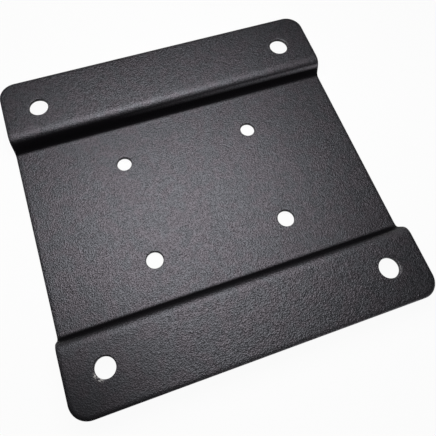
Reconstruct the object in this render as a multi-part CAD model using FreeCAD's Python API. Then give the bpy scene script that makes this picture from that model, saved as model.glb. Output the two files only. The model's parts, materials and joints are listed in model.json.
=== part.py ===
"""Adapter plate: one sheet of steel, folded into a shallow pan between two raised flanges.

The sheet is 1.2 mm thick. Each long side of the pan climbs a steep riser to a flange, so that screw heads
in the pan sit below whatever is bolted across the flanges. A square pattern of four larger holes goes
through the flanges, and a smaller rectangular pattern of four goes through the pan. The corners are round,
and every cut edge is softened as far as a thick powder coat softens it.

Sizes are in millimetres and degrees. X runs along the folds, Y runs across them from flange to flange, and
Z is up. The origin is the middle of the pan's underside, on which the plate rests.
"""

import FreeCAD, Part
import math
import os

# The sheet and its folds: the bend radius is the inner one, and the riser's angle is from the level
sheet = 1.2
bend_radius = 1.8
riser_angle = 70.0
step_height = 5.0

# Four larger holes through the flanges, a standard square pattern for displays
flange_hole_diameter = 5.5
flange_hole_pitch_x = 75.0
flange_hole_pitch_y = 75.0

# Metal around them: out to the plate's sides and ends, and in to the foot of the riser
side_margin = 10.0
end_margin = 10.0
hole_to_riser_foot = 10.5

# Four smaller holes through the pan, a standard rectangular pattern for device holders
pan_hole_diameter = 4.8
pan_hole_pitch_x = 38.0
pan_hole_pitch_y = 30.0

# Corners in plan, and how far the cut edges and the rims of the holes are softened
corner_radius = 4.75
edge_round = 0.4
rim_break = 0.25

# Room that a cutting tool runs past the metal, and how near to upright or level counts as such
tool_overrun = 1.0
tilt_tolerance = 1e-6

# The plate's reach follows from the flange holes and the metal around them
plate_width = flange_hole_pitch_x + 2 * side_margin
plate_depth = flange_hole_pitch_y + 2 * end_margin
half_depth = plate_depth / 2

# Levels of the two upper faces
pan_top = sheet
flange_top = pan_top + step_height

# On the upper face, the pan and the riser would meet at the foot, and the riser and the flange at the brow
slope = math.radians(riser_angle)
foot_y = flange_hole_pitch_y / 2 - hole_to_riser_foot
brow_y = foot_y + step_height / math.tan(slope)

# Centres of the bends that round those two meeting lines, as Y and Z
outer_bend_radius = bend_radius + sheet
foot_centre = (foot_y - bend_radius * math.tan(slope / 2), pan_top + bend_radius)
brow_centre = (brow_y + outer_bend_radius * math.tan(slope / 2), flange_top - outer_bend_radius)


def is_upright(direction):
    """Whether a unit direction points straight up or down."""
    return abs(direction.z) > 1 - tilt_tolerance


def is_level(direction):
    """Whether a unit direction has no climb."""
    return abs(direction.z) < tilt_tolerance


def on_circle(centre, radius, angle):
    """Y and Z of a point on a circle, at this angle above the level."""
    return (centre[0] + radius * math.cos(angle), centre[1] + radius * math.sin(angle))


def bend_points(depth):
    """Start, middle and end of the foot's arc and of the brow's arc, this far below the upper face."""
    straight_down = -math.pi / 2
    straight_up = math.pi / 2
    shares = (0, 0.5, 1)
    foot_radius = bend_radius + depth
    brow_radius = outer_bend_radius - depth
    foot = [on_circle(foot_centre, foot_radius, straight_down + share * slope) for share in shares]
    brow = [on_circle(brow_centre, brow_radius, straight_up + (1 - share) * slope) for share in shares]
    return foot, brow


def half_skin(depth, side):
    """Edges of one skin of the sheet in the YZ plane, from the pan's middle out to one end of the plate."""
    foot, brow = bend_points(depth)
    middle = (0, pan_top - depth)
    end = (half_depth, flange_top - depth)
    middle, foot_start, foot_mid, foot_end, brow_start, brow_mid, brow_end, end = [
        FreeCAD.Vector(0, side * y, z) for y, z in [middle] + foot + brow + [end]
    ]
    return [
        Part.LineSegment(middle, foot_start).toShape(),
        Part.Arc(foot_start, foot_mid, foot_end).toShape(),
        Part.LineSegment(foot_end, brow_start).toShape(),
        Part.Arc(brow_start, brow_mid, brow_end).toShape(),
        Part.LineSegment(brow_end, end).toShape(),
    ]


def end_cut(side):
    """The section's edge where one flange ends."""
    upper = FreeCAD.Vector(0, side * half_depth, flange_top)
    lower = FreeCAD.Vector(0, side * half_depth, flange_top - sheet)
    return Part.LineSegment(upper, lower).toShape()


def folded_sheet():
    """The sheet with its four bends, still with square corners and no holes."""
    edges = []
    for side in (-1, 1):
        edges += half_skin(0, side) + half_skin(sheet, side) + [end_cut(side)]
    section = Part.Face(Part.Wire(Part.__sortEdges__(edges)))
    section.translate(FreeCAD.Vector(-plate_width / 2, 0, 0))
    return section.extrude(FreeCAD.Vector(plate_width, 0, 0)).removeSplitter()


def outline_block():
    """A block taller than the folded sheet, with the plate's round corners in plan."""
    height = flange_top + 2 * tool_overrun
    corner = FreeCAD.Vector(-plate_width / 2, -half_depth, -tool_overrun)
    block = Part.makeBox(plate_width, plate_depth, height, corner)
    upright = [edge for edge in block.Edges if is_upright(edge.tangentAt(edge.FirstParameter))]
    return block.makeFillet(corner_radius, upright)


def drills(diameter, pitch_x, pitch_y):
    """Four upright drills at the corners of a rectangle about the plate's middle."""
    length = flange_top + 2 * tool_overrun
    return [
        Part.makeCylinder(diameter / 2, length, FreeCAD.Vector(x, y, -tool_overrun))
        for x in (-pitch_x / 2, pitch_x / 2)
        for y in (-pitch_y / 2, pitch_y / 2)
    ]


def is_cut_wall(face):
    """Whether a face is a straight cut down through the sheet, which stands upright as no riser does."""
    axis = face.Surface.Axis
    return is_upright(axis) if isinstance(face.Surface, Part.Cylinder) else is_level(axis)


def softened_outline(blank):
    """The blank with the cut edge all round it rounded, along its upper and its lower skin."""
    walls = [face for face in blank.Faces if is_cut_wall(face)]
    skins = [face for face in blank.Faces if not is_cut_wall(face)]
    skin_edges = {edge.hashCode() for skin in skins for edge in skin.Edges}
    cut_edges = [edge for wall in walls for edge in wall.Edges if edge.hashCode() in skin_edges]
    return blank.makeFillet(edge_round, cut_edges)


def drilled(blank):
    """The blank with its eight holes, and their sharp rims broken on both skins."""
    plate = blank.cut(
        drills(flange_hole_diameter, flange_hole_pitch_x, flange_hole_pitch_y)
        + drills(pan_hole_diameter, pan_hole_pitch_x, pan_hole_pitch_y)
    )
    rims = [edge for edge in plate.Edges if edge.isClosed()]
    return plate.makeChamfer(rim_break, rims)


def adapter_plate():
    """The finished plate: folded, trimmed to its outline, softened and drilled."""
    blank = folded_sheet().common(outline_block()).Solids[0]
    return drilled(softened_outline(blank)).Solids[0]


def main():
    os.makedirs("parts", exist_ok=True)
    plate = adapter_plate()
    plate.exportStep("parts/adapter_plate.step")


main()
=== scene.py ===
"""Dresses the adapter plate: a finely meshed folded sheet under a black powder coat, in a plain studio.

Everything is in metres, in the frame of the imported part: X runs along the folds, Y runs across them from
flange to flange, and Z is up. The origin is the middle of the pan's underside, on which the plate rests.
"""

import json
import math

import bpy
from mathutils import Matrix, Vector


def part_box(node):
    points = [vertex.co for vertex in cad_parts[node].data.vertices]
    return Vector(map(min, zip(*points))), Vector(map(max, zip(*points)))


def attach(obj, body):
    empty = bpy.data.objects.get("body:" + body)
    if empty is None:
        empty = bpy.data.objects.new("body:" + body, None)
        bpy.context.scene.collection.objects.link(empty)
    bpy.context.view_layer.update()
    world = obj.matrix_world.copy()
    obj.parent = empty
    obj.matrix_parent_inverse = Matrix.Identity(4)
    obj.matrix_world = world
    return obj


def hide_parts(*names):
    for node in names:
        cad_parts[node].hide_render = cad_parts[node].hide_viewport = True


bl_info = {
    "name": "Adapter plate",
    "version": (1, 0, 0),
    "blender": (4, 5, 0),
    "location": "3D View > Sidebar > Plate",
    "description": "Folds the adapter plate from its sheet, coats it and sets up the studio around it",
    "category": "Object",
}

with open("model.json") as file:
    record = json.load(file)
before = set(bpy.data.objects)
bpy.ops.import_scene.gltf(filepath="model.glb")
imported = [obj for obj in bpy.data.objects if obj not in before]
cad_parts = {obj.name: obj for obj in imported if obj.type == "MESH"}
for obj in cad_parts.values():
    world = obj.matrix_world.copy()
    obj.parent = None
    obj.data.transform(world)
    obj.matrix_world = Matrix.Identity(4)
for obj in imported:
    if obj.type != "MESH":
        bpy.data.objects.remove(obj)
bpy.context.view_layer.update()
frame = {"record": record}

MM = 0.001
NODE = "adapter_plate"
COAT = "black_powder_coat"
LOW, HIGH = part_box(NODE)
MOUNTS = {mount["name"]: mount for mount in frame["record"]["mounts"]}

# Levels of the sheet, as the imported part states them
PAN_TOP = MOUNTS["pan_floor"]["pos_m"][2]
FLANGE_TOP = MOUNTS["back_flange_top"]["pos_m"][2]
SHEET = PAN_TOP - MOUNTS["pan_underside"]["pos_m"][2]


def pattern(name):
    """Half spacings along X and Y, and the radius of the holes, of one of the part's two hole patterns."""
    sizes = MOUNTS[name]["dims"]
    return sizes["spacing_x_mm"] / 2 * MM, sizes["spacing_y_mm"] / 2 * MM, sizes["hole_r_mm"] * MM


FLANGE_HOLE_X, FLANGE_HOLE_Y, FLANGE_HOLE_RADIUS = pattern("flange_holes")
PAN_HOLE_X, PAN_HOLE_Y, PAN_HOLE_RADIUS = pattern("pan_holes")

# Flange holes with a bare steel rim: the hole's side in X and in Y, the way from its centre to the mark, and
# how bare the steel is there. The near left rim is real wear; the near right and far right rims are painted
# glints
WEAR_AND_GLINT_RIMS = (
    (-1, -1, (-0.78, -0.62), 1.0),
    (1, -1, (0.93, -0.36), 0.3),
    (1, 1, (0.87, 0.49), 0.2),
)

# Straight parts from which each mesh step round a bend is summed
BEND_PARTS = 24

# Width of the camera's frame in millimetres, and the nearest place that the camera sees
FRAME_WIDTH = 36.0
NEAR_CLIP = 5 * MM

X_WAY = (1, 0, 0)
Y_WAY = (0, 1, 0)
Z_WAY = (0, 0, 1)
BLACK = (0.0, 0.0, 0.0, 1.0)


class PlateSizes(bpy.types.PropertyGroup):
    """Sizes of the folded sheet, and how finely it is meshed."""

    foot_radius: bpy.props.FloatProperty(
        name="Foot radius",
        description="Radius of the sheet's middle where the bend at a riser's foot is tightest",
        default=1.70 * MM, min=0.7 * MM, subtype="DISTANCE", unit="LENGTH",
    )
    brow_radius: bpy.props.FloatProperty(
        name="Brow radius",
        description="Radius of the sheet's middle where the bend at a riser's top is tightest",
        default=2.00 * MM, min=0.7 * MM, subtype="DISTANCE", unit="LENGTH",
    )
    riser_angle: bpy.props.FloatProperty(
        name="Riser angle",
        description="Climb of the two risers from the level",
        default=math.radians(70.5), min=math.radians(20), max=math.radians(85),
        subtype="ANGLE", unit="ROTATION",
    )
    riser_foot: bpy.props.FloatProperty(
        name="Riser foot",
        description="Distance from the plate's middle to where the pan and a riser would meet",
        default=26.95 * MM, subtype="DISTANCE", unit="LENGTH",
    )
    corner_radius: bpy.props.FloatProperty(
        name="Corner radius",
        description="Radius of the plate's corners, seen from above",
        default=4.75 * MM, subtype="DISTANCE", unit="LENGTH",
    )
    edge_roll: bpy.props.FloatProperty(
        name="Edge roll",
        description="Width over which the upper skin rolls over towards the cut edge",
        default=1.3 * MM, subtype="DISTANCE", unit="LENGTH",
    )
    edge_drop: bpy.props.FloatProperty(
        name="Edge drop",
        description="Depth to which the upper skin rolls over at the far edge and the sides",
        default=0.2 * MM, subtype="DISTANCE", unit="LENGTH",
    )
    near_edge_drop: bpy.props.FloatProperty(
        name="Near edge drop",
        description="Depth to which the upper skin rolls over at the near edge",
        default=0.4 * MM, subtype="DISTANCE", unit="LENGTH",
    )
    burr_round: bpy.props.FloatProperty(
        name="Burr round",
        description="Depth of the small round at the edges of the lower skin",
        default=0.15 * MM, subtype="DISTANCE", unit="LENGTH",
    )
    rim_round: bpy.props.FloatProperty(
        name="Rim round",
        description="Radius to which the coat softens the rims of the holes",
        default=0.35 * MM, subtype="DISTANCE", unit="LENGTH",
    )
    flange_hole_coat: bpy.props.FloatVectorProperty(
        name="Flange hole coat",
        description="Coat on the walls of the near left, far left, near right, far right hole",
        default=(0.20 * MM, 0.10 * MM, 0, 0), size=4, min=0, subtype="NONE", unit="LENGTH",
    )
    pan_hole_coat: bpy.props.FloatVectorProperty(
        name="Pan hole coat",
        description="Coat on the walls of the near left, far left, near right, far right hole",
        default=(0.10 * MM, 0.36 * MM, 0.04 * MM, 0.30 * MM), size=4, min=0,
        subtype="NONE", unit="LENGTH",
    )
    cell: bpy.props.FloatProperty(
        name="Cell",
        description="Size of a mesh cell on the plain flats",
        default=1.5 * MM, min=0.2 * MM, subtype="DISTANCE", unit="LENGTH",
    )
    hole_frame: bpy.props.FloatProperty(
        name="Hole frame",
        description="Half side of the square of finer mesh around each hole",
        default=4.2 * MM, subtype="DISTANCE", unit="LENGTH",
    )
    hole_cells: bpy.props.IntProperty(
        name="Hole cells",
        description="Mesh cells along each side of a hole's square",
        default=16, min=4,
    )
    hole_rings: bpy.props.IntProperty(
        name="Hole rings",
        description="Rings of mesh between a hole and its square",
        default=4, min=1,
    )
    corner_cells: bpy.props.IntProperty(
        name="Corner cells",
        description="Mesh cells along each half of a corner's arc",
        default=8, min=2,
    )
    bend_steps: bpy.props.IntProperty(
        name="Bend steps",
        description="Mesh cells round each bend",
        default=18, min=2,
    )
    round_steps: bpy.props.IntProperty(
        name="Round steps",
        description="Mesh cells round each softened edge",
        default=6, min=2,
    )


class CoatLook(bpy.types.PropertyGroup):
    """Colour, gloss and grain of the powder coat, its wear, and the painted shade, highlight and glints on
    it.
    """

    colour: bpy.props.FloatVectorProperty(
        name="Colour",
        description="Colour of the coat",
        default=(0.0050, 0.0047, 0.0055, 1.0), size=4, min=0, max=1, subtype="COLOR",
    )
    sheen_colour: bpy.props.FloatVectorProperty(
        name="Sheen colour",
        description="Tint of what the coat's grains reflect",
        default=(0.97, 0.90, 1.0, 1.0), size=4, min=0, max=1, subtype="COLOR",
    )
    cool_sheen_colour: bpy.props.FloatVectorProperty(
        name="Cool sheen colour",
        description="Tint of what the coat reflects where its patches turn cooler",
        default=(0.91, 0.91, 1.0, 1.0), size=4, min=0, max=1, subtype="COLOR",
    )
    pit_depth: bpy.props.FloatProperty(
        name="Pit depth",
        description="Share of the reflection that the deepest pits between the grains lose",
        default=0.63, min=0, max=1, subtype="FACTOR",
    )
    # Shared by real wear at the near left hole and painted glints at the near right and far right holes
    wear_and_glint_reach: bpy.props.FloatProperty(
        name="Chip reach",
        description="How far the wear reaches from a hole's wall",
        default=0.75 * MM, min=0.05 * MM, subtype="DISTANCE", unit="LENGTH",
    )
    steel_and_glint_colour: bpy.props.FloatVectorProperty(
        name="Steel colour",
        description="Colour of the bare steel where the coat is chipped",
        default=(0.42, 0.41, 0.40, 1.0), size=4, min=0, max=1, subtype="COLOR",
    )
    roughness: bpy.props.FloatProperty(
        name="Roughness",
        description="Roughness of the coat between its grains",
        default=0.49, min=0, max=1, subtype="FACTOR",
    )
    shine: bpy.props.FloatProperty(
        name="Shine",
        description="Strength of the coat's reflection, where 0.5 is that of plain lacquer",
        default=1.0, min=0, max=1, subtype="FACTOR",
    )
    # Painted shade: the strip below takes the coat's reflection away along each riser, where the fold lies
    # in shade
    shade_strip_place: bpy.props.FloatProperty(
        name="Hollow place",
        description="Distance from the plate's middle to the dull strip of coat on each riser",
        default=27.6 * MM, subtype="DISTANCE", unit="LENGTH",
    )
    shade_strip_half: bpy.props.FloatProperty(
        name="Hollow half",
        description="Half the width of the dull strip",
        default=0.6 * MM, subtype="DISTANCE", unit="LENGTH",
    )
    shade_strip_fade: bpy.props.FloatProperty(
        name="Hollow fade",
        description="Width over which the dull strip fades on either side",
        default=1.3 * MM, subtype="DISTANCE", unit="LENGTH",
    )
    shade_strip_shine: bpy.props.FloatProperty(
        name="Hollow shine",
        description="Share of the shine that is left in the dull strip",
        default=0.02, min=0, max=1, subtype="FACTOR",
    )
    # Painted highlight: the line below is a bright reflection painted along the far riser
    highlight_line_height: bpy.props.FloatProperty(
        name="Mark height",
        description="Height above the pan of the polished line along the far riser",
        default=3.3 * MM, subtype="DISTANCE", unit="LENGTH",
    )
    highlight_line_reach: bpy.props.FloatProperty(
        name="Mark reach",
        description="Width over which the polished line fades on either side",
        default=0.95 * MM, min=0.1 * MM, subtype="DISTANCE", unit="LENGTH",
    )
    highlight_line_ends: bpy.props.FloatVectorProperty(
        name="Mark ends",
        description="Along the fold, where the polished line starts and where it is strongest",
        default=(-20 * MM, 45 * MM), size=2, subtype="NONE", unit="LENGTH",
    )
    highlight_line_shine: bpy.props.FloatProperty(
        name="Mark shine",
        description="Strength of the reflection where the polished line is strongest",
        default=1.7, min=0,
    )
    # Painted shade: towards the near left corner the coat keeps less reflection and fainter grain, as if in
    # shade
    shade_corner_reach: bpy.props.FloatProperty(
        name="Corner reach",
        description="How far the duller coat reaches from the plate's near left corner",
        default=38 * MM, subtype="DISTANCE", unit="LENGTH",
    )
    shade_corner_shine: bpy.props.FloatProperty(
        name="Corner shine",
        description="Share of the shine that is left at the plate's near left corner",
        default=0.36, min=0, max=1, subtype="FACTOR",
    )
    # Upright faces keep little reflection: a grainy coat's real loss at grazing, and painted shade on the
    # risers
    upright_shade_shine: bpy.props.FloatProperty(
        name="Wall shine",
        description="Share of the shine that is left on upright faces, such as cut edges and hole walls",
        default=0.15, min=0, max=1, subtype="FACTOR",
    )
    ior: bpy.props.FloatProperty(
        name="IOR",
        description="Refractive index of the coat",
        default=1.7, min=1,
    )
    grain_size: bpy.props.FloatProperty(
        name="Grain size",
        description="Width of one grain of the coat",
        default=0.32 * MM, min=0.05 * MM, subtype="DISTANCE", unit="LENGTH",
    )
    grain_height: bpy.props.FloatProperty(
        name="Grain height",
        description="Height of the grain above its pits",
        default=0.135 * MM, min=0, subtype="DISTANCE", unit="LENGTH",
    )


class StudioSetup(bpy.types.PropertyGroup):
    """Camera, lamps, floor and world."""

    camera_place: bpy.props.FloatVectorProperty(
        name="Camera place",
        description="Where the camera stands",
        default=(-22.42 * MM, -49.71 * MM, 120.77 * MM), subtype="TRANSLATION", unit="LENGTH",
    )
    camera_target: bpy.props.FloatVectorProperty(
        name="Camera target",
        description="The point on the pan that the camera's axis meets",
        default=(-1.49 * MM, -5.83 * MM, 1.2 * MM), subtype="TRANSLATION", unit="LENGTH",
    )
    camera_roll: bpy.props.FloatProperty(
        name="Camera roll",
        description="How far the camera is turned about its own axis",
        default=math.radians(6.82), subtype="ANGLE", unit="ROTATION",
    )
    lens: bpy.props.FloatProperty(
        name="Lens",
        description="Focal length in millimetres, on a square frame 36 mm wide",
        default=38.43, min=1,
    )
    shift: bpy.props.FloatVectorProperty(
        name="Shift",
        description="Sideways and upward shift of the frame, as shares of its width",
        default=(0.0279, -0.0178), size=2,
    )
    key_tilt: bpy.props.FloatVectorProperty(
        name="Key tilt",
        description="Lean of the big soft lamp from overhead, towards +X and towards +Y",
        default=(math.radians(-0.4), math.radians(13.9)), size=2, subtype="NONE", unit="ROTATION",
    )
    key_distance: bpy.props.FloatProperty(
        name="Key distance",
        description="Distance from the plate to the big soft lamp",
        default=0.105, min=0.02, subtype="DISTANCE", unit="LENGTH",
    )
    key_size: bpy.props.FloatVectorProperty(
        name="Key size",
        description="Length and width of the big soft lamp",
        default=(0.11, 0.09), size=2, min=0.01, subtype="NONE", unit="LENGTH",
    )
    key_power: bpy.props.FloatProperty(
        name="Key power",
        description="Power of the big soft lamp in watts",
        default=0.139, min=0,
    )
    side_tilt: bpy.props.FloatVectorProperty(
        name="Side tilt",
        description="Lean of the low lamp at the front right, towards +X and towards +Y",
        default=(math.radians(69.3), math.radians(-78.9)), size=2, subtype="NONE", unit="ROTATION",
    )
    side_distance: bpy.props.FloatProperty(
        name="Side distance",
        description="Distance from the plate to the low lamp",
        default=0.39, min=0.02, subtype="DISTANCE", unit="LENGTH",
    )
    side_size: bpy.props.FloatVectorProperty(
        name="Side size",
        description="Length and width of the low lamp",
        default=(0.06, 0.06), size=2, min=0.01, subtype="NONE", unit="LENGTH",
    )
    side_power: bpy.props.FloatProperty(
        name="Side power",
        description="Power of the low lamp in watts",
        default=0.2, min=0,
    )
    fill: bpy.props.FloatProperty(
        name="Fill",
        description="Strength of the even light from all round",
        default=0.006, min=0,
    )
    floor_side: bpy.props.FloatProperty(
        name="Floor side",
        description="Side of the square floor",
        default=3.0, min=0.5, subtype="DISTANCE", unit="LENGTH",
    )
    floor_gap: bpy.props.FloatProperty(
        name="Floor gap",
        description="Gap between the plate's underside and the floor",
        default=0.02 * MM, min=0, subtype="DISTANCE", unit="LENGTH",
    )
    floor_colour: bpy.props.FloatVectorProperty(
        name="Floor colour",
        description="Colour of the floor",
        default=(0.80, 0.80, 0.80, 1.0), size=4, min=0, max=1, subtype="COLOR",
    )
    floor_glow: bpy.props.FloatProperty(
        name="Floor glow",
        description="Share of plain white in the floor by the plate; the rest keeps the shadow",
        default=0.95, min=0, max=1, subtype="FACTOR",
    )
    floor_reach: bpy.props.FloatVectorProperty(
        name="Floor reach",
        description="Where the floor starts to turn to plain white, and where it is all white",
        default=(0.07, 0.35), size=2, min=0, subtype="NONE", unit="LENGTH",
    )


class Spot:
    """A place on the upper skin of the sheet, with the skin's normal there."""

    def __init__(self, place, normal):
        self.place = Vector(place)
        self.normal = Vector(normal)


class Layout:
    """The upper skin as spots and four-sided faces, with the loops of spots that bound it.

    A loop is a list of triples: a spot's number, the level direction that leaves the metal there, and the
    shape of the softened edge. It runs with the metal on its left, seen from above.
    """

    def __init__(self):
        self.spots = []
        self.faces = []
        self.loops = []

    def add(self, spot):
        """Adds a spot; gives its number."""
        self.spots.append(spot)
        return len(self.spots) - 1


def mesh_lines(start, stretches, cell):
    """Line positions from start: a stretch is its end and its number of cells, None for plain cells."""
    lines = [start]
    for end, count in stretches:
        first = lines[-1]
        count = count or max(1, round((end - first) / cell))
        lines += [first + (end - first) * step / count for step in range(1, count + 1)]
    return lines


def nearest(lines, value):
    """Number of the line nearest to a value."""
    return min(range(len(lines)), key=lambda number: abs(lines[number] - value))


def column_lines(sizes):
    """X of every line of the mesh that runs across the folds."""
    half = mesh_lines(
        0.0,
        [
            (PAN_HOLE_X - sizes.hole_frame, None),
            (PAN_HOLE_X + sizes.hole_frame, sizes.hole_cells),
            (FLANGE_HOLE_X - sizes.hole_frame, None),
            (FLANGE_HOLE_X + sizes.hole_frame, sizes.hole_cells),
            (HIGH.x - sizes.corner_radius, None),
            (HIGH.x - sizes.edge_roll, sizes.corner_cells),
        ],
        sizes.cell,
    )
    return [-x for x in reversed(half[1:])] + half


def bend_lean(turn, share):
    """Lean of the sheet this share of the way round a bend."""
    return turn * (share - math.sin(math.tau * share) / math.tau)


def bend_line(turn, radius, steps):
    """The sheet's middle round a bend: at each step, its place past the start and its lean in radians.

    The bend grows tighter up to its middle and eases off again, as a sheet bends over a rounded tool, so it
    is twice as long as an arc of its tightest radius. The first leg lies level, and the line climbs from it.
    """
    length = 2 * turn * radius
    place = Vector((0, 0, 0))
    line = [(place.copy(), 0.0)]
    for step in range(1, steps + 1):
        for part in range(BEND_PARTS):
            lean = bend_lean(turn, (step - 1 + (part + 0.5) / BEND_PARTS) / steps)
            place += Vector((0, math.cos(lean), math.sin(lean))) * length / (steps * BEND_PARTS)
        line.append((place.copy(), bend_lean(turn, step / steps)))
    return line


def bend_leg(turn, line):
    """Distance from either end of a bend to where its two straight legs would meet."""
    return line[-1][0].length / (2 * math.cos(turn / 2))


def spot_over(middle, lean):
    """The upper skin's spot over a point of the sheet's middle, where the sheet leans this far."""
    normal = Vector((0, -math.sin(lean), math.cos(lean)))
    return Spot(middle + normal * (SHEET / 2), normal)


def fold_rows(sizes):
    """The sheet's section along Y as spots: every line of the mesh that runs along the folds."""
    slope = sizes.riser_angle
    half_sheet = SHEET / 2
    rise = FLANGE_TOP - PAN_TOP
    foot = bend_line(slope, sizes.foot_radius, sizes.bend_steps)
    brow = bend_line(slope, sizes.brow_radius, sizes.bend_steps)

    foot_meet = Vector((0, sizes.riser_foot + half_sheet * math.tan(slope / 2), PAN_TOP - half_sheet))
    brow_meet = foot_meet + Vector((0, rise / math.tan(slope), rise))
    foot_start = foot_meet - Vector((0, bend_leg(slope, foot), 0))
    foot_end = foot_start + foot[-1][0]
    brow_end = brow_meet + Vector((0, bend_leg(slope, brow), 0))
    brow_start = brow_end - brow[-1][0]
    if brow_start.z < foot_end.z:
        raise ValueError("the riser is too short for the bends at its foot and its top")

    pan = mesh_lines(
        0.0,
        [
            (PAN_HOLE_Y - sizes.hole_frame, None),
            (PAN_HOLE_Y + sizes.hole_frame, sizes.hole_cells),
            (foot_start.y, None),
        ],
        sizes.cell,
    )
    riser_cells = max(2, round((brow_start - foot_end).length / sizes.cell))
    riser = [foot_end.lerp(brow_start, step / riser_cells) for step in range(1, riser_cells)]
    flange = mesh_lines(
        brow_end.y,
        [
            (FLANGE_HOLE_Y - sizes.hole_frame, None),
            (FLANGE_HOLE_Y + sizes.hole_frame, sizes.hole_cells),
            (HIGH.y - sizes.corner_radius, None),
            (HIGH.y - sizes.edge_roll, sizes.corner_cells),
        ],
        sizes.cell,
    )

    rows = [spot_over(Vector((0, y, foot_start.z)), 0.0) for y in pan]
    rows += [spot_over(foot_start + place, lean) for place, lean in foot[1:]]
    rows += [spot_over(middle, slope) for middle in riser]
    rows += [spot_over(brow_end - place, lean) for place, lean in reversed(brow)]
    rows += [spot_over(Vector((0, y, brow_end.z)), 0.0) for y in flange[1:]]
    mirrored = [
        Spot((0, -row.place.y, row.place.z), (0, -row.normal.y, row.normal.z))
        for row in reversed(rows[1:])
    ]
    return mirrored + rows


def rounded_corner(x, y, sizes):
    """X and Y of a spot once the plate's corners are round, and within a corner also its way out."""
    centre = Vector((HIGH.x - sizes.corner_radius, HIGH.y - sizes.corner_radius))
    reach = sizes.corner_radius - sizes.edge_roll
    across = (abs(x) - centre.x) / reach
    along = (abs(y) - centre.y) / reach
    if across <= 0 or along <= 0:
        return x, y, None
    share = max(across, along)
    angle = math.pi / 4 * (along / across if along < across else 2 - across / along)
    way = Vector((math.cos(angle), math.sin(angle)))
    place = centre + way * share * reach
    way_out = Vector((math.copysign(way.x, x), math.copysign(way.y, y), 0))
    return math.copysign(place.x, x), math.copysign(place.y, y), way_out


def hole_places(sizes):
    """Centre on the upper skin and coated radius of each of the eight holes."""
    signs = ((-1, -1), (-1, 1), (1, -1), (1, 1))
    patterns = (
        (FLANGE_HOLE_X, FLANGE_HOLE_Y, FLANGE_TOP, FLANGE_HOLE_RADIUS, sizes.flange_hole_coat),
        (PAN_HOLE_X, PAN_HOLE_Y, PAN_TOP, PAN_HOLE_RADIUS, sizes.pan_hole_coat),
    )
    return [
        (Vector((x_sign * x, y_sign * y, level)), radius - coat)
        for x, y, level, radius, coats in patterns
        for (x_sign, y_sign), coat in zip(signs, coats)
    ]


def frame_walk(left, right, low, high):
    """Column and row of each point round a rectangle of the grid, from its low right corner and upward."""
    walk = [(right, row) for row in range(low, high)]
    walk += [(column, high) for column in range(right, left, -1)]
    walk += [(left, row) for row in range(high, low, -1)]
    walk += [(column, low) for column in range(left, right)]
    return walk


def lay_out_skin(sizes):
    """The whole upper skin: the grid, its round corners, and a ring of finer mesh round each hole."""
    layout = Layout()
    columns = column_lines(sizes)
    rows = fold_rows(sizes)
    row_ys = [row.place.y for row in rows]
    last_column = len(columns) - 1
    last_row = len(rows) - 1

    holes = []
    inside = set()
    covered = set()
    for centre, radius in hole_places(sizes):
        left, right = [nearest(columns, centre.x + side * sizes.hole_frame) for side in (-1, 1)]
        low, high = [nearest(row_ys, centre.y + side * sizes.hole_frame) for side in (-1, 1)]
        holes.append((centre, radius, frame_walk(left, right, low, high)))
        inside |= {(c, r) for c in range(left + 1, right) for r in range(low + 1, high)}
        covered |= {(c, r) for c in range(left, right) for r in range(low, high)}

    number = {}
    way_out = {}
    for c, column_x in enumerate(columns):
        for r, row in enumerate(rows):
            if (c, r) in inside:
                continue
            x, y, corner_way = rounded_corner(column_x, row.place.y, sizes)
            number[c, r] = layout.add(Spot((x, y, row.place.z), row.normal))
            if corner_way is not None:
                way_out[c, r] = corner_way
            elif c in (0, last_column):
                way_out[c, r] = Vector((1 if c else -1, 0, 0))
            elif r in (0, last_row):
                way_out[c, r] = Vector((0, 1 if r else -1, 0))

    for c in range(last_column):
        for r in range(last_row):
            if (c, r) not in covered:
                corners = ((c, r), (c + 1, r), (c + 1, r + 1), (c, r + 1))
                layout.faces.append(tuple(number[corner] for corner in corners))

    layout.loops.append([
        (number[spot], way_out[spot], edge_shape(way_out[spot], sizes))
        for spot in frame_walk(0, last_column, 0, last_row)
    ])
    for centre, radius, walk in holes:
        ring_hole(layout, [number[spot] for spot in walk], centre, radius, sizes)
    return layout


def ring_hole(layout, square, centre, radius, sizes):
    """Rings of mesh from a hole's square in to its rim, and the loop that bounds them."""
    up = Vector(Z_WAY)
    count = len(square)
    # The square is walked from its low right corner, so the rim starts there too
    first_angle = -math.pi / 4
    angles = [first_angle + math.tau * step / count for step in range(count)]
    ways = [Vector((math.cos(angle), math.sin(angle), 0)) for angle in angles]
    rim = [centre + way * (radius + sizes.rim_round) for way in ways]
    outer = square
    for ring in range(1, sizes.hole_rings + 1):
        share = ring / sizes.hole_rings
        inner = [
            layout.add(Spot(layout.spots[square[step]].place.lerp(rim[step], share), up))
            for step in range(count)
        ]
        for step in range(count):
            after = (step + 1) % count
            layout.faces.append((outer[step], outer[after], inner[after], inner[step]))
        outer = inner
    shape = (sizes.rim_round, sizes.rim_round, sizes.rim_round)
    loop = [(outer[step], -ways[step], shape) for step in range(count)]
    layout.loops.append(list(reversed(loop)))


def edge_shape(way, sizes):
    """Width, upper depth and lower depth of the plate's softened edge where it faces this way."""
    near = max(0.0, -way.y)
    drop = sizes.edge_drop + (sizes.near_edge_drop - sizes.edge_drop) * near
    return sizes.edge_roll, drop, sizes.burr_round


def quarter_round(width, depth, steps):
    """Shift outward, depth and lean of the normal at each step over one softened edge, from its skin on."""
    stations = []
    for step in range(1, steps + 1):
        turn = math.pi / 2 * step / steps
        lean = math.atan2(depth * math.sin(turn), width * math.cos(turn))
        stations.append((width * math.sin(turn), depth * (1 - math.cos(turn)), lean))
    return stations


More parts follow.
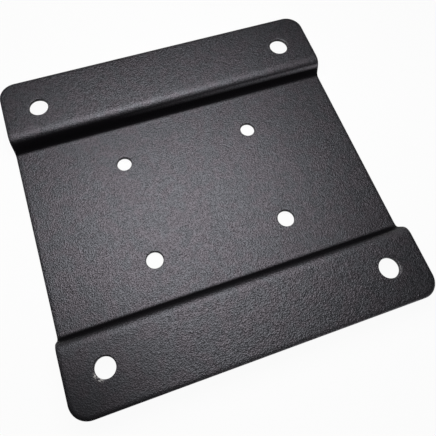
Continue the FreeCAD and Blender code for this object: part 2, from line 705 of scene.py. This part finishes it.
def edge_stations(shape, steps):
    """Shift outward, depth and lean of the normal at each step from the upper skin to the lower."""
    width, upper_depth, lower_depth = shape
    lower = [
        (shift, SHEET - sunk, math.pi - lean)
        for shift, sunk, lean in reversed(quarter_round(width, lower_depth, steps))
    ]
    return quarter_round(width, upper_depth, steps) + lower


def strip(upper, lower):
    """Four-sided faces between two closed rings of as many points."""
    count = len(upper)
    return [
        (upper[step], lower[step], lower[(step + 1) % count], upper[(step + 1) % count])
        for step in range(count)
    ]


def thicken(layout, sizes):
    """Points, faces and normals of the whole sheet: both skins and the softened edges between them."""
    spots = layout.spots
    below = len(spots)
    points = [spot.place for spot in spots] + [spot.place - spot.normal * SHEET for spot in spots]
    normals = [spot.normal for spot in spots] + [-spot.normal for spot in spots]
    faces = layout.faces + [tuple(below + corner for corner in reversed(face)) for face in layout.faces]
    for loop in layout.loops:
        numbers, ways, shapes = zip(*loop)
        paths = [edge_stations(shape, sizes.round_steps) for shape in shapes]
        upper = numbers
        for stations in zip(*paths):
            lower = []
            for number, way, (shift, depth, lean) in zip(numbers, ways, stations):
                start = spots[number]
                lower.append(len(points))
                points.append(start.place + way * shift - start.normal * depth)
                normals.append((start.normal * math.cos(lean) + way * math.sin(lean)).normalized())
            faces += strip(upper, lower)
            upper = lower
        faces += strip(upper, [below + number for number in numbers])
    return points, faces, normals


def plate_mesh(sizes):
    """The finished mesh of the plate."""
    points, faces, normals = thicken(lay_out_skin(sizes), sizes)
    mesh = bpy.data.meshes.new("folded_plate")
    mesh.from_pydata([tuple(point) for point in points], [], faces)
    if mesh.validate(verbose=False):
        raise RuntimeError("the plate's mesh has faces that don't hold together")
    mesh.shade_smooth()
    mesh.normals_split_custom_set_from_vertices([tuple(normal) for normal in normals])
    return mesh


def empty_tree(owner):
    """The shader nodes of a material or a world, all cleared away."""
    owner.use_nodes = True
    owner.node_tree.nodes.clear()
    return owner.node_tree


def node_group(name, inputs, outputs):
    """An empty shader node group with these sockets, and its input and output nodes."""
    group = bpy.data.node_groups.new(name, "ShaderNodeTree")
    for socket_name, kind in inputs:
        group.interface.new_socket(name=socket_name, in_out="INPUT", socket_type=kind)
    for socket_name, kind in outputs:
        group.interface.new_socket(name=socket_name, in_out="OUTPUT", socket_type=kind)
    return group, group.nodes.new("NodeGroupInput"), group.nodes.new("NodeGroupOutput")


def place_group(tree, group, values):
    """Puts a node group in a material with its own values; gives the node."""
    node = tree.nodes.new("ShaderNodeGroup")
    node.node_tree = group
    for name, value in values.items():
        feed(tree, node.inputs[name], value)
    return node


def feed(tree, socket, value):
    """Links a socket to another, or sets it to a plain value, or leaves it for None."""
    if isinstance(value, bpy.types.NodeSocket):
        tree.links.new(value, socket)
    elif value is not None:
        socket.default_value = value


def math_node(tree, operation, first, second=None):
    """A Math node fed with numbers or sockets; gives its output."""
    node = tree.nodes.new("ShaderNodeMath")
    node.operation = operation
    for socket, value in zip(node.inputs, (first, second)):
        feed(tree, socket, value)
    return node.outputs["Value"]


def times(tree, *factors):
    """The product of sockets and numbers, as a socket."""
    product = factors[0]
    for factor in factors[1:]:
        product = math_node(tree, "MULTIPLY", product, factor)
    return product


def distance_from(tree, value, target):
    """How far a socket's value is from a number, whichever way."""
    return math_node(tree, "ABSOLUTE", math_node(tree, "SUBTRACT", value, target))


def vector_node(tree, operation, output, first, second=None, scale=None):
    """A Vector Math node fed with vectors or sockets; gives one of its outputs."""
    node = tree.nodes.new("ShaderNodeVectorMath")
    node.operation = operation
    for number, value in ((0, first), (1, second), (3, scale)):
        feed(tree, node.inputs[number], value)
    return node.outputs[output]


def along(tree, vector, way):
    """How far a vector reaches along a way of length 1."""
    return vector_node(tree, "DOT_PRODUCT", "Value", vector, way)


def noise_node(tree, vector, scale, detail):
    """A Noise Texture; gives its Fac output."""
    node = tree.nodes.new("ShaderNodeTexNoise")
    node.inputs["Scale"].default_value = scale
    node.inputs["Detail"].default_value = detail
    feed(tree, node.inputs["Vector"], vector)
    return node.outputs["Fac"]


def ramp(tree, value, low, high, low_out=0.0, high_out=1.0, smooth=True):
    """A Map Range from low..high to low_out..high_out, clamped; gives its output."""
    node = tree.nodes.new("ShaderNodeMapRange")
    node.interpolation_type = "SMOOTHSTEP" if smooth else "LINEAR"
    feed(tree, node.inputs["Value"], value)
    node.inputs["From Min"].default_value = low
    node.inputs["From Max"].default_value = high
    node.inputs["To Min"].default_value = low_out
    node.inputs["To Max"].default_value = high_out
    return node.outputs["Result"]


def mix_colours(tree, share, first, second):
    """A Mix node for colours; gives its output."""
    node = tree.nodes.new("ShaderNodeMix")
    node.data_type = "RGBA"
    feed(tree, node.inputs["Factor"], share)
    colours = [socket for socket in node.inputs if socket.type == "RGBA"]
    feed(tree, colours[0], first)
    feed(tree, colours[1], second)
    return next(socket for socket in node.outputs if socket.type == "RGBA")


def powder_grain(tree, place, grain_size):
    """The pebbled surface of a fine-textured powder coat: its height, its pits and its slow patches.

    Fine pebbles ride on wider lumps. A pit lies where the pebbles are low, and the tone of each small cell
    of powder makes it deeper or shallower. The scales count waves per grain.
    """
    lump_share = 0.3
    cell_scale = 1.3
    cell_share = 0.3
    pebble_share = 1.4
    pit_brim, pit_bottom = 1.05, 0.55
    warm_patch, cool_patch = 0.38, 0.62

    spread = vector_node(tree, "SCALE", "Vector", place, scale=1 / grain_size)
    pebbles = noise_node(tree, spread, scale=1.0, detail=0.8)
    lumps = noise_node(tree, spread, scale=0.4, detail=1.0)
    patches = noise_node(tree, spread, scale=0.09, detail=1.0)
    height = math_node(tree, "ADD", pebbles, times(tree, lumps, lump_share))

    cells = tree.nodes.new("ShaderNodeTexVoronoi")
    cells.inputs["Scale"].default_value = cell_scale
    feed(tree, cells.inputs["Vector"], spread)
    cell_tone = along(tree, cells.outputs["Color"], X_WAY)
    tone = math_node(
        tree, "ADD", times(tree, cell_tone, cell_share), times(tree, pebbles, pebble_share)
    )
    pits = ramp(tree, tone, pit_brim, pit_bottom, smooth=False)
    return height, pits, ramp(tree, patches, warm_patch, cool_patch)


def rim_wear_and_glint_group():
    """Shader group: bare steel along one side of a hole's rim, with a ragged edge, for real wear and painted
    glints.
    """
    whole_reach = 0.3
    marked_side, whole_side = 0.80, 0.97
    ragged_scale, ragged_detail = 2600.0, 2.0
    ragged_low, ragged_high = 0.46, 0.56

    tree, given, result = node_group(
        "Rim chip",
        [
            ("Place", "NodeSocketVector"),
            ("Hole Centre", "NodeSocketVector"),
            ("Hole Radius", "NodeSocketFloat"),
            ("Way", "NodeSocketVector"),
            ("Reach", "NodeSocketFloat"),
        ],
        [("Mask", "NodeSocketFloat")],
    )
    away = vector_node(tree, "SUBTRACT", "Vector", given.outputs["Place"], given.outputs["Hole Centre"])
    flat = vector_node(tree, "MULTIPLY", "Vector", away, (1.0, 1.0, 0.0))
    distance = vector_node(tree, "LENGTH", "Value", flat)
    past_wall = math_node(tree, "SUBTRACT", distance, given.outputs["Hole Radius"])
    share = math_node(tree, "DIVIDE", past_wall, given.outputs["Reach"])
    near = ramp(tree, share, 1.0, whole_reach)
    facing = along(tree, vector_node(tree, "NORMALIZE", "Vector", flat), given.outputs["Way"])
    side = ramp(tree, facing, marked_side, whole_side)
    noise = noise_node(tree, given.outputs["Place"], ragged_scale, ragged_detail)
    ragged = ramp(tree, noise, ragged_low, ragged_high)
    tree.links.new(times(tree, near, side, ragged), result.inputs["Mask"])
    return tree


def wear_and_glint_rims(tree, place, wear_and_glint_reach):
    """Mask of bare steel at the flange holes' rims: real wear at the near left, painted glints at the right
    two.
    """
    rim_mark_group = rim_wear_and_glint_group()
    bare = 0.0
    for x_sign, y_sign, way, mark_strength in WEAR_AND_GLINT_RIMS:
        chip = place_group(
            tree,
            rim_mark_group,
            {
                "Place": place,
                "Hole Centre": (x_sign * FLANGE_HOLE_X, y_sign * FLANGE_HOLE_Y, 0),
                "Hole Radius": FLANGE_HOLE_RADIUS,
                "Way": (*way, 0),
                "Reach": wear_and_glint_reach,
            },
        )
        bare = math_node(tree, "MAXIMUM", bare, times(tree, chip.outputs["Mask"], mark_strength))
    return bare


def coat_shine(tree, place, normal, look):
    """The coat's reflection, with painted shade on risers and upright faces, and a painted highlight line.
    """
    wall_rise, skin_rise = 0.1, 0.7

    # Painted shade: a strip along each riser keeps almost none of the reflection
    along_y = along(tree, place, Y_WAY)
    off_strip = distance_from(tree, math_node(tree, "ABSOLUTE", along_y), look.shade_strip_place)
    fade_end = look.shade_strip_half + look.shade_strip_fade
    shine = ramp(tree, off_strip, look.shade_strip_half, fade_end, look.shine * look.shade_strip_shine, look.shine)

    # Painted highlight: a line of stronger reflection along the far riser
    off_highlight_line = distance_from(tree, along(tree, place, Z_WAY), PAN_TOP + look.highlight_line_height)
    across_highlight_line = ramp(tree, off_highlight_line, 0.0, look.highlight_line_reach, look.highlight_line_shine, 0.0)
    along_highlight_line = ramp(tree, along(tree, place, X_WAY), *look.highlight_line_ends, smooth=False)
    far_side = math_node(tree, "GREATER_THAN", along_y, 0.0)
    shine = math_node(tree, "MAXIMUM", shine, times(tree, across_highlight_line, along_highlight_line, far_side))

    # Upright faces lose most of their reflection: grazing loss of the grainy coat, and painted shade on
    # risers
    rise = math_node(tree, "ABSOLUTE", along(tree, normal, Z_WAY))
    return times(tree, shine, ramp(tree, rise, wall_rise, skin_rise, look.upright_shade_shine, 1.0))


def coat_material(look):
    """The black powder coat: its colour, wear and painted glints, shine with painted shade and highlight,
    grain.
    """
    material = bpy.data.materials.new(COAT)
    tree = empty_tree(material)
    shader = tree.nodes.new("ShaderNodeBsdfPrincipled")
    output = tree.nodes.new("ShaderNodeOutputMaterial")
    tree.links.new(shader.outputs["BSDF"], output.inputs["Surface"])
    coordinates = tree.nodes.new("ShaderNodeTexCoord")
    place = coordinates.outputs["Object"]

    # Bare steel: real wear at the near left hole, painted glints at the near right and far right holes
    wear_and_glint = wear_and_glint_rims(tree, place, look.wear_and_glint_reach)
    colour = mix_colours(tree, wear_and_glint, tuple(look.colour), tuple(look.steel_and_glint_colour))
    tree.links.new(colour, shader.inputs["Base Color"])
    tree.links.new(wear_and_glint, shader.inputs["Metallic"])

    height, pits, patches = powder_grain(tree, place, look.grain_size)
    # Painted shade towards the near left corner: less reflection, shallower pits and fainter grain
    from_corner = vector_node(tree, "DISTANCE", "Value", place, (LOW.x, LOW.y, FLANGE_TOP))
    corner_shade = ramp(tree, from_corner, 0.0, look.shade_corner_reach, look.shade_corner_shine, 1.0)
    sheen = mix_colours(tree, patches, tuple(look.sheen_colour), tuple(look.cool_sheen_colour))
    sheen = mix_colours(tree, times(tree, pits, corner_shade, look.pit_depth), sheen, BLACK)
    tree.links.new(sheen, shader.inputs["Specular Tint"])
    shine = times(tree, coat_shine(tree, place, coordinates.outputs["Normal"], look), corner_shade)
    tree.links.new(shine, shader.inputs["Specular IOR Level"])
    shader.inputs["Roughness"].default_value = look.roughness
    shader.inputs["IOR"].default_value = look.ior

    bump = tree.nodes.new("ShaderNodeBump")
    bump.inputs["Distance"].default_value = look.grain_height
    tree.links.new(times(tree, height, corner_shade), bump.inputs["Height"])
    tree.links.new(bump.outputs["Normal"], shader.inputs["Normal"])
    return material


class PLATE_OT_fold(bpy.types.Operator):
    """Folds the sheet, softens its edges and coats it"""

    bl_idname = "plate.fold"
    bl_label = "Fold the plate"

    def execute(self, context):
        scene = context.scene
        plate = bpy.data.objects.new("folded_plate", plate_mesh(scene.plate_sizes))
        scene.collection.objects.link(plate)
        plate.data.materials.append(coat_material(scene.coat_look))
        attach(plate, "root")
        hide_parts(NODE)
        return {"FINISHED"}


def seen_by(tree, *kinds):
    """Mask that is 1 for these kinds of rays, as Light Path names them."""
    rays = tree.nodes.new("ShaderNodeLightPath")
    mask = rays.outputs[kinds[0]]
    for kind in kinds[1:]:
        mask = math_node(tree, "MAXIMUM", mask, rays.outputs[kind])
    return mask


def floor_material(setup):
    """Pale floor that the camera sees as nearly plain white, with the plate's shadow kept beside it."""
    material = bpy.data.materials.new("studio_floor")
    tree = empty_tree(material)
    diffuse = tree.nodes.new("ShaderNodeBsdfDiffuse")
    diffuse.inputs["Color"].default_value = setup.floor_colour
    glow = tree.nodes.new("ShaderNodeEmission")
    coordinates = tree.nodes.new("ShaderNodeTexCoord")
    from_plate = vector_node(tree, "LENGTH", "Value", coordinates.outputs["Object"])
    white = ramp(tree, from_plate, *setup.floor_reach, setup.floor_glow, 1.0)
    seen = seen_by(tree, "Is Camera Ray", "Is Transmission Ray", "Is Glossy Ray")
    mix = tree.nodes.new("ShaderNodeMixShader")
    output = tree.nodes.new("ShaderNodeOutputMaterial")
    tree.links.new(times(tree, seen, white), mix.inputs["Fac"])
    tree.links.new(diffuse.outputs["BSDF"], mix.inputs[1])
    tree.links.new(glow.outputs["Emission"], mix.inputs[2])
    tree.links.new(mix.outputs["Shader"], output.inputs["Surface"])
    return material


def studio_floor(setup):
    """A wide level floor just under the plate."""
    half = setup.floor_side / 2
    level = LOW.z - setup.floor_gap
    corners = [(x * half, y * half, level) for x, y in ((-1, -1), (1, -1), (1, 1), (-1, 1))]
    mesh = bpy.data.meshes.new("studio_floor")
    mesh.from_pydata(corners, [], [(0, 1, 2, 3)])
    mesh.materials.append(floor_material(setup))
    floor = bpy.data.objects.new("studio_floor", mesh)
    bpy.context.scene.collection.objects.link(floor)


def studio_world(setup):
    """Even dim light from all round, seen by the camera as plain white."""
    world = bpy.data.worlds.new("studio_world")
    tree = empty_tree(world)
    dim = tree.nodes.new("ShaderNodeBackground")
    dim.inputs["Strength"].default_value = setup.fill
    white = tree.nodes.new("ShaderNodeBackground")
    for background in (dim, white):
        background.inputs["Color"].default_value = (1, 1, 1, 1)
    mix = tree.nodes.new("ShaderNodeMixShader")
    output = tree.nodes.new("ShaderNodeOutputWorld")
    tree.links.new(seen_by(tree, "Is Camera Ray", "Is Transmission Ray"), mix.inputs["Fac"])
    tree.links.new(dim.outputs["Background"], mix.inputs[1])
    tree.links.new(white.outputs["Background"], mix.inputs[2])
    tree.links.new(mix.outputs["Shader"], output.inputs["Surface"])
    bpy.context.scene.world = world


def studio_lamp(name, tilt, distance, size, power):
    """A soft lamp that leans from overhead by these angles and faces the plate's middle."""
    lamp = bpy.data.lights.new(name, "AREA")
    lamp.shape = "RECTANGLE"
    lamp.size, lamp.size_y = size
    lamp.energy = power
    lean = Vector((math.tan(tilt[0]), math.tan(tilt[1]), 1)).normalized()
    across = Vector(Y_WAY).cross(lean).normalized()
    holder = bpy.data.objects.new(name, lamp)
    holder.location = lean * distance
    holder.rotation_euler = Matrix((across, lean.cross(across), lean)).transposed().to_euler()
    holder.visible_camera = False
    bpy.context.scene.collection.objects.link(holder)


def studio_camera(setup):
    """The camera at the photograph's viewing angle."""
    lens = bpy.data.cameras.new("studio_camera")
    lens.sensor_width = FRAME_WIDTH
    lens.lens = setup.lens
    lens.shift_x, lens.shift_y = setup.shift
    lens.clip_start = NEAR_CLIP
    place = Vector(setup.camera_place)
    ahead = (Vector(setup.camera_target) - place).normalized()
    level_right = ahead.cross(Vector(Z_WAY)).normalized()
    right = Matrix.Rotation(-setup.camera_roll, 3, ahead) @ level_right
    above = right.cross(ahead)
    axes = Matrix((right, above, -ahead)).transposed().to_4x4()
    camera = bpy.data.objects.new("studio_camera", lens)
    camera.matrix_world = Matrix.Translation(place) @ axes
    bpy.context.scene.collection.objects.link(camera)
    bpy.context.scene.camera = camera


class PLATE_OT_studio(bpy.types.Operator):
    """Sets up the floor, the lamps, the world and the camera"""

    bl_idname = "plate.studio"
    bl_label = "Set up the studio"

    def execute(self, context):
        setup = context.scene.studio_setup
        studio_floor(setup)
        studio_world(setup)
        studio_lamp("key_lamp", setup.key_tilt, setup.key_distance, setup.key_size, setup.key_power)
        studio_lamp("side_lamp", setup.side_tilt, setup.side_distance, setup.side_size, setup.side_power)
        studio_camera(setup)
        context.scene.view_settings.view_transform = "Standard"
        return {"FINISHED"}


class PLATE_PT_sidebar(bpy.types.Panel):
    """Lists the steps and the values that they use"""

    bl_idname = "PLATE_PT_sidebar"
    bl_label = "Adapter plate"
    bl_space_type = "VIEW_3D"
    bl_region_type = "UI"
    bl_category = "Plate"

    def draw(self, context):
        scene = context.scene
        for step, values in (
            (PLATE_OT_fold.bl_idname, (scene.plate_sizes, scene.coat_look)),
            (PLATE_OT_studio.bl_idname, (scene.studio_setup,)),
        ):
            box = self.layout.box()
            box.operator(step)
            for group in values:
                for name in type(group).__annotations__:
                    box.prop(group, name)


CLASSES = (PlateSizes, CoatLook, StudioSetup, PLATE_OT_fold, PLATE_OT_studio, PLATE_PT_sidebar)


def register():
    """Adds the classes, and their values to every scene."""
    for cls in CLASSES:
        bpy.utils.register_class(cls)
    bpy.types.Scene.plate_sizes = bpy.props.PointerProperty(type=PlateSizes)
    bpy.types.Scene.coat_look = bpy.props.PointerProperty(type=CoatLook)
    bpy.types.Scene.studio_setup = bpy.props.PointerProperty(type=StudioSetup)


def unregister():
    """Takes the values and the classes out again."""
    del bpy.types.Scene.studio_setup
    del bpy.types.Scene.coat_look
    del bpy.types.Scene.plate_sizes
    for cls in reversed(CLASSES):
        bpy.utils.unregister_class(cls)


def main():
    """Runs every step in order."""
    register()
    bpy.ops.plate.fold()
    bpy.ops.plate.studio()


if __name__ == "__main__":
    main()
